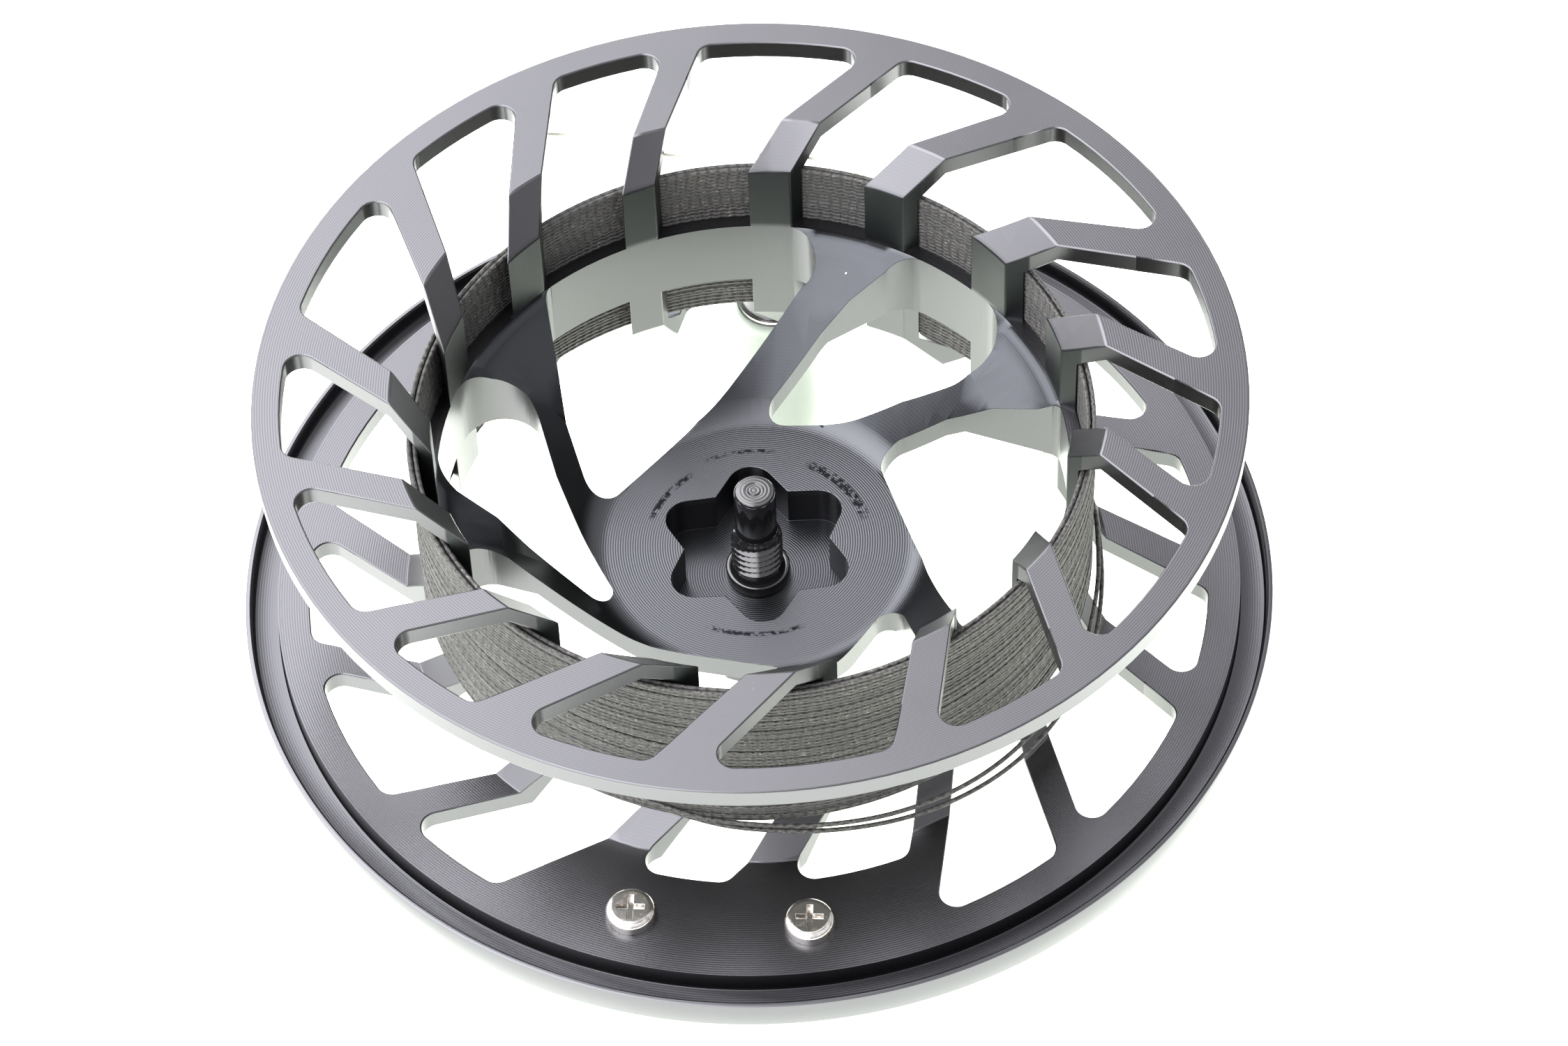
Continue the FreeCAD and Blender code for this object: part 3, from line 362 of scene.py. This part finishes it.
def softened(node, name, edgeWidth, keepSeams=False, mouth=0.0):
    # merged copy of a CAD node, its coplanar triangles joined, with a fine bevel on its sharp edges;
    # edges in the seat's plane, nearer the axis than mouth, get the full width and all others a third
    shape = bmesh.new()
    shape.from_mesh(nodes[node].data)
    bmesh.ops.remove_doubles(shape, verts=shape.verts, dist=edgeBreak["weld"])
    bmesh.ops.dissolve_limit(shape, angle_limit=math.radians(0.5), verts=shape.verts, edges=shape.edges,
                             use_dissolve_boundaries=False, delimit=set())
    weights = shape.edges.layers.float.new("bevel_weight_edge")
    for edge in shape.edges:
        if len(edge.link_faces) != 2 or edge.calc_face_angle(0.0) < math.radians(edgeBreak["sharpFrom"]):
            continue
        if keepSeams and onSeam([corner.co for corner in edge.verts]):
            continue
        inMouth = all(math.hypot(corner.co.x, corner.co.y) < mouth and abs(corner.co.z) < 0.01 * mm
                      for corner in edge.verts)
        edge[weights] = 1.0 if inMouth or not mouth else 1 / edgeBreak["mouthTimes"]
    piece = toObject(shape, name)
    shadeByAngle(piece, edgeBreak["shadeAngle"])
    edges = piece.modifiers.new("edges", "BEVEL")
    edges.width = edgeWidth
    edges.segments = edgeBreak["segments"]
    edges.limit_method = "WEIGHT"
    flats = piece.modifiers.new("flats", "WEIGHTED_NORMAL")
    flats.weight = 90
    flats.keep_sharp = True
    return piece


def lathe(profile, steps, centre=(0.0, 0.0), closed=True):
    # spins a half section of (radius, height), in millimetres, about an upright axis
    shape = bmesh.new()
    corners = [shape.verts.new((centre[0] * mm + radius * mm, centre[1] * mm, height * mm))
               for radius, height in profile]
    edges = [shape.edges.new(pair) for pair in zip(corners, corners[1:])]
    if closed:
        edges.append(shape.edges.new((corners[-1], corners[0])))
    bmesh.ops.spin(shape, geom=corners + edges, cent=(centre[0] * mm, centre[1] * mm, 0), axis=(0, 0, 1),
                   dvec=(0, 0, 0), angle=2 * math.pi, steps=steps, use_merge=True)
    bmesh.ops.remove_doubles(shape, verts=shape.verts, dist=0.001 * mm)
    bmesh.ops.recalc_face_normals(shape, faces=shape.faces)
    return shape


camera = {"lens": 117.29, "place": (20.99, -303.39, 389.06), "elevation": 51.774, "azimuth": 3.449, "roll": 2.317}
stage = {"floor": -32.5, "floorSize": 6000.0, "floorGlow": 2.7, "floorColor": (0.92, 1.0, 0.82, 1),
         "skyGlow": 1.18, "skyColor": (0.975, 0.97, 1.01, 1)}


def makeCamera():
    eye = bpy.data.cameras.new("camera")
    eye.sensor_width = 36.0
    eye.lens = camera["lens"]
    eye.clip_start, eye.clip_end = 0.01, 20.0
    holder = bpy.data.objects.new("camera", eye)
    bpy.context.scene.collection.objects.link(holder)
    tilt = Matrix.Rotation(math.radians(90 - camera["elevation"]), 4, "X")
    heading = Matrix.Rotation(math.radians(camera["azimuth"]), 4, "Z")
    roll = Matrix.Rotation(math.radians(-camera["roll"]), 4, "Z")
    holder.matrix_world = Matrix.Translation(Vector(camera["place"]) * mm) @ heading @ tilt @ roll
    bpy.context.scene.camera = holder


def makeFloor():
    shape = bmesh.new()
    bmesh.ops.create_grid(shape, x_segments=1, y_segments=1, size=stage["floorSize"] * mm / 2)
    bmesh.ops.translate(shape, vec=(0, 0, stage["floor"] * mm), verts=shape.verts)
    floor = toObject(shape, "floor")
    made = bpy.data.materials.new("lightTable")
    made.use_nodes = True
    shader = made.node_tree.nodes["Principled BSDF"]
    shader.inputs["Base Color"].default_value = (0.8, 0.8, 0.8, 1)
    shader.inputs["Roughness"].default_value = 0.7
    shader.inputs["Emission Color"].default_value = stage["floorColor"]
    shader.inputs["Emission Strength"].default_value = stage["floorGlow"]
    floor.data.materials.append(made)


def makeSky():
    world = bpy.data.worlds.new("studio")
    bpy.context.scene.world = world
    world.use_nodes = True
    tree = world.node_tree
    tree.nodes.clear()
    out = addNode(tree, "ShaderNodeOutputWorld")
    heading = addNode(tree, "ShaderNodeSeparateXYZ")
    tree.links.new(addNode(tree, "ShaderNodeTexCoord").outputs["Generated"], heading.inputs[0])
    x, y, z = heading.outputs
    # a broad soft light above and to the left: brighter overhead, dimmer to the right
    across = remap(tree, x, -0.22, 0.07, 7.0, 1.15)
    rise = remap(tree, z, 0.25, 0.70, 0.45, 1.0)
    glow = calc(tree, "MULTIPLY", calc(tree, "MULTIPLY", across, rise), stage["skyGlow"])
    tint = addNode(tree, "ShaderNodeBackground")
    tint.inputs["Color"].default_value = stage["skyColor"]
    tree.links.new(glow, tint.inputs["Strength"])
    below = addNode(tree, "ShaderNodeBackground")
    below.inputs["Color"].default_value = stage["floorColor"]
    below.inputs["Strength"].default_value = stage["floorGlow"]
    lit = addNode(tree, "ShaderNodeMixShader")
    tree.links.new(remap(tree, z, -0.05, 0.10, 1.0, 0.0), lit.inputs[0])
    tree.links.new(tint.outputs[0], lit.inputs[1])
    tree.links.new(below.outputs[0], lit.inputs[2])
    paper = addNode(tree, "ShaderNodeBackground")
    paper.inputs["Strength"].default_value = 1.0
    paper.inputs["Color"].default_value = (1, 1, 1, 1)
    seen = addNode(tree, "ShaderNodeMixShader")
    tree.links.new(addNode(tree, "ShaderNodeLightPath").outputs["Is Camera Ray"], seen.inputs[0])
    tree.links.new(lit.outputs[0], seen.inputs[1])
    tree.links.new(paper.outputs[0], seen.inputs[2])
    tree.links.new(seen.outputs[0], out.inputs[0])


makeCamera()
makeFloor()
makeSky()
bpy.context.scene.view_settings.view_transform = "Standard"
print("camera, floor and light made")


spool = {"edge": 0.14 * mm, "socketReach": 12.0 * mm, "palmSteps": 288}
spoolPieces = {"frame_side_rim": "frameSideRim", "frame_side_ribs": "frameSideRibs", "arbor_band": "arborBand",
               "hub_spider": "hubSpider", "handle_side_ribs": "handleSideRibs", "handle_side_rim": "handleSideRim"}
for node, name in spoolPieces.items():
    mouth = spool["socketReach"] if node == "hub_spider" else 0.0
    width = spool["edge"] * (edgeBreak["mouthTimes"] if mouth else 1)
    place(softened(node, name, width, keepSeams=True, mouth=mouth), "spool", metalFinish, node)
print("spool regions made")

# half section of the palming rim, from the groove's inner wall round the lip and back
palmProfile = ((46.5, -4.55), (46.8, -4.55), (46.8, -6.45), (46.95, -6.7), (47.15, -6.75), (48.95, -6.75),
               (49.2, -6.7), (49.4, -6.45), (49.4, -5.08), (49.58, -4.9), (49.82, -4.9), (49.95, -4.97),
               (50.0, -5.12), (50.0, -7.75), (49.93, -7.98), (49.78, -8.14), (49.55, -8.2),
               (47.4, -8.2), (47.05, -8.1),
               (46.5, -6.65))


def makePalmingRim():
    rim = toObject(lathe(palmProfile, spool["palmSteps"]), "palmingRim")
    shadeByAngle(rim, 40.0)
    return rim


place(makePalmingRim(), "spool", metalFinish, "palming_rim")
print("palming rim made")


for node, name, body, slot, finish in (
        ("balance_weight", "balanceWeight", "spool", "weight", metalFinish),
        ("handle_ferrule", "handleFerrule", "spool", "spool_metal", metalFinish),
        ("weight_screws", "weightScrews", "spool", "steel", steelFinish),
        ("handle_end_screw", "handleEndScrew", "spool", "steel", steelFinish),
        ("release_cap", "releaseCap", "lock", "cap", capFinish)):
    place(softened(node, name, 0.09 * mm), body, finish, node)


releaseScrew = {"crest": 2.5, "root": 2.02, "pitch": 0.8, "threadLow": -3.25, "threadHigh": 1.75, "steps": 48,
                "round": 72,
                "nose": ((0.0, 8.2), (0.55, 8.2), (0.62, 8.12), (0.85, 8.12), (0.92, 8.2), (1.58, 8.2), (1.8, 8.14),
                         (1.94, 8.0), (2.0, 7.8), (2.0, 2.75), (1.93, 2.62), (1.93, 2.3),
                         (2.05, 2.12), (2.22, 1.96),
                         (2.3, 1.86), (2.3, 1.76), (2.08, 1.5), (2.0, 1.3), (2.0, -4.4)),
                "shank": ((2.0, -3.3), (2.0, -4.55), (2.72, -4.6), (2.85, -4.75), (2.85, -11.8), (0.0, -11.8))}


def makeReleaseScrew():
    # turned nose and shank, and a helical ridge spun up the middle
    body = lathe(releaseScrew["nose"], releaseScrew["round"], closed=False)
    joinInto(body, lathe(releaseScrew["shank"], releaseScrew["round"], closed=False))
    ridge = bmesh.new()
    pitch, root, crest = releaseScrew["pitch"], releaseScrew["root"], releaseScrew["crest"]
    section = ((root - 0.05, 0.0), (root, 0.0), (root + 0.04, pitch * 0.10), (crest - 0.06, pitch * 0.43),
               (crest, pitch * 0.48), (crest, pitch * 0.52), (crest - 0.06, pitch * 0.57),
               (root + 0.04, pitch * 0.90), (root, pitch), (root - 0.05, pitch))
    low = releaseScrew["threadLow"]
    corners = [ridge.verts.new((radius * mm, 0, (low + rise) * mm)) for radius, rise in section]
    edges = [ridge.edges.new(pair) for pair in zip(corners, corners[1:] + corners[:1])]
    turns = (releaseScrew["threadHigh"] - low - pitch) / pitch
    ridge.faces.new(corners)
    swept = bmesh.ops.spin(ridge, geom=corners + edges, cent=(0, 0, 0), axis=(0, 0, 1),
                           dvec=(0, 0, pitch * mm / releaseScrew["steps"]),
                           angle=2 * math.pi * turns, steps=round(releaseScrew["steps"] * turns))
    last = [item for item in swept["geom_last"] if isinstance(item, bmesh.types.BMVert)]
    ridge.faces.new(last)
    bmesh.ops.recalc_face_normals(ridge, faces=ridge.faces)
    joinInto(body, ridge)
    screw = toObject(body, "releaseScrew")
    shadeByAngle(screw, 42.0)
    return screw


place(makeReleaseScrew(), "lock", screwFinish, "release_screw")

collarProfile = ((2.0, -4.55), (3.02, -4.55), (3.12, -4.45), (3.12, -3.46), (3.08, -3.36),
                 (2.98, -3.3), (2.6, -3.3),
                 (2.5, -3.38), (2.0, -3.38))


def makeCollar():
    collar = toObject(lathe(collarProfile, releaseScrew["round"]), "retainingCollar")
    shadeByAngle(collar, 42.0)
    return collar


place(makeCollar(), "lock", screwFinish, "retaining_collar")
print("release screw made")


winding = {"thickness": 0.235, "innerReach": 31.60, "outerReach": 32.14, "low": -0.56, "high": 19.2, "pitch": 0.462,
           "stations": 120, "seed": 7, "core": ((31.50, -0.70), (31.78, -0.70), (31.78, 19.0), (31.50, 19.0))}


def makeWinding():
    # turns of line in two layers, each a slightly wavering ring laid beside the last, with a thin core
    # between the layers, so that no light comes through where two turns part
    draw = random.Random(winding["seed"])
    start = bmesh.new()
    bmesh.ops.create_circle(start, segments=6, radius=winding["thickness"] * mm)
    bmesh.ops.rotate(start, verts=start.verts, cent=(0, 0, 0), matrix=Matrix.Rotation(math.pi / 2, 3, "X"))
    bmesh.ops.translate(start, verts=start.verts, vec=(winding["outerReach"] * mm, 0, 0))
    bmesh.ops.spin(start, geom=start.verts[:] + start.edges[:], cent=(0, 0, 0), axis=(0, 0, 1), dvec=(0, 0, 0),
                   angle=2 * math.pi, steps=winding["stations"], use_merge=True)
    bmesh.ops.recalc_face_normals(start, faces=start.faces)
    plain = bpy.data.meshes.new("turn")
    start.to_mesh(plain)
    start.free()
    shape = lathe(winding["core"], winding["stations"])
    count = int((winding["high"] - winding["low"]) / winding["pitch"]) + 1
    for layer, reach in enumerate((winding["innerReach"], winding["outerReach"])):
        for turn in range(count):
            level = winding["low"] + winding["pitch"] * (turn + 0.5 * layer) * (1.0 - 0.012 * layer)
            waves = [(draw.uniform(0.02, 0.07), draw.choice((1, 2, 3)), draw.uniform(0, 6.28)) for _ in range(2)]
            swell = (draw.uniform(0.02, 0.09), draw.choice((2, 3, 5)), draw.uniform(0, 6.28))
            ring = bmesh.new()
            ring.from_mesh(plain)
            for corner in ring.verts:
                angle = math.atan2(corner.co.y, corner.co.x)
                lift = sum(size * math.sin(number * angle + phase) for size, number, phase in waves)
                inward = reach - winding["outerReach"]
                push = inward + swell[0] * math.sin(swell[1] * angle + swell[2]) * layer
                corner.co.x += push * math.cos(angle) * mm
                corner.co.y += push * math.sin(angle) * mm
                corner.co.z += (level + lift) * mm
            joinInto(shape, ring)
    bpy.data.meshes.remove(plain)
    package = toObject(shape, "backingWinding")
    package.data.shade_smooth()
    return package


place(makeWinding(), "spool", braidFinish, "backing")
print("winding made")


# angle, radius and height of the points that each loose strand passes
looseWraps = {
    "looseWrapA": ("loose_wrap_a", ((257.0, 32.2, -0.15), (263.0, 32.85, -0.3), (271.0, 33.35, -0.5),
                                    (284.0, 34.3, -0.8), (298.0, 35.35, -0.9), (312.0, 35.95, -0.6),
                                    (325.5, 35.75, 0.0), (338.0, 35.0, 0.8), (349.5, 33.9, 1.6),
                                    (359.5, 33.0, 2.2),
                                    (366.0, 32.7, 2.5), (371.0, 32.15, 2.7)), 0.0686),
    "looseWrapB": ("loose_wrap_b", ((252.5, 32.2, 0.8), (259.0, 32.85, 0.6), (268.0, 33.3, 0.4), (281.0, 34.1, 0.2),
                                    (295.0, 35.0, 0.15), (309.0, 35.5, 0.4), (323.0, 35.25, 0.95),
                                    (336.0, 34.5, 1.7),
                                    (348.0, 33.6, 2.5), (357.0, 32.9, 3.1), (363.5, 32.7, 3.4),
                                    (368.0, 32.15, 3.6)),
                   0.0689),
    "tagStrand": ("tag_strand", ((72.0, 32.1, 19.3), (78.5, 32.75, 19.55), (87.0, 32.9, 19.75), (95.5, 32.85, 19.8),
                                 (104.0, 33.4, 19.85), (111.2, 35.15, 19.9), (117.5, 39.7, 20.0),
                                 (121.5, 41.0, 20.1)), 0.0322),
}


def makeStrand(name, points, thickness):
    curve = bpy.data.curves.new(name, "CURVE")
    curve.dimensions = "3D"
    curve.bevel_depth = thickness / 2
    curve.bevel_resolution = 3
    curve.resolution_u = 12
    curve.use_fill_caps = True
    line = curve.splines.new("NURBS")
    line.points.add(len(points) - 1)
    for spot, (angle, reach, level) in zip(line.points, points):
        turn = math.radians(angle)
        spot.co = (reach * math.cos(turn) * mm, reach * math.sin(turn) * mm, level * mm, 1.0)
    line.order_u = 3
    line.use_endpoint_u = True
    made = bpy.data.objects.new(name, curve)
    bpy.context.scene.collection.objects.link(made)
    return made


for name, (node, points, length) in looseWraps.items():
    isTag = node == "tag_strand"
    thickness = (0.30 if isTag else 0.45) * mm
    strand = makeStrand(name, points, thickness)
    place(strand, "spool", tagFinish if isTag else braidFinish, node)
print("loose line made")


handleSpot = (0.0, 41.5)
knobSteps = 96
knobProfile = ((2.6, -12.1), (3.1, -12.1), (3.75, -12.16), (4.0, -12.45), (4.02, -13.0), (3.9, -13.5),
               (3.88, -14.1),
               (4.02, -16.0), (4.35, -20.5), (4.62, -24.5), (4.7, -26.5), (4.66, -28.5), (4.5, -30.4),
               (4.3, -31.5),
               (4.1, -32.05), (3.8, -32.28), (3.5, -32.3), (3.3, -32.15), (3.3, -30.85), (2.6, -30.85))


def makeKnob():
    knob = toObject(lathe(knobProfile, knobSteps, centre=handleSpot), "handleKnob")
    shadeByAngle(knob, 40.0)
    return knob


place(makeKnob(), "knob", knobFinish, "handle_knob")
for node, finish in (("handle_post", steelFinish), ("handle_washer", steelFinish), ("thrust_washer", steelFinish),
                     ("handle_bush_upper", bushFinish), ("handle_bush_lower", bushFinish)):
    nodes[node].data.materials.clear()
    nodes[node].data.materials.append(finish)
print("handle made")
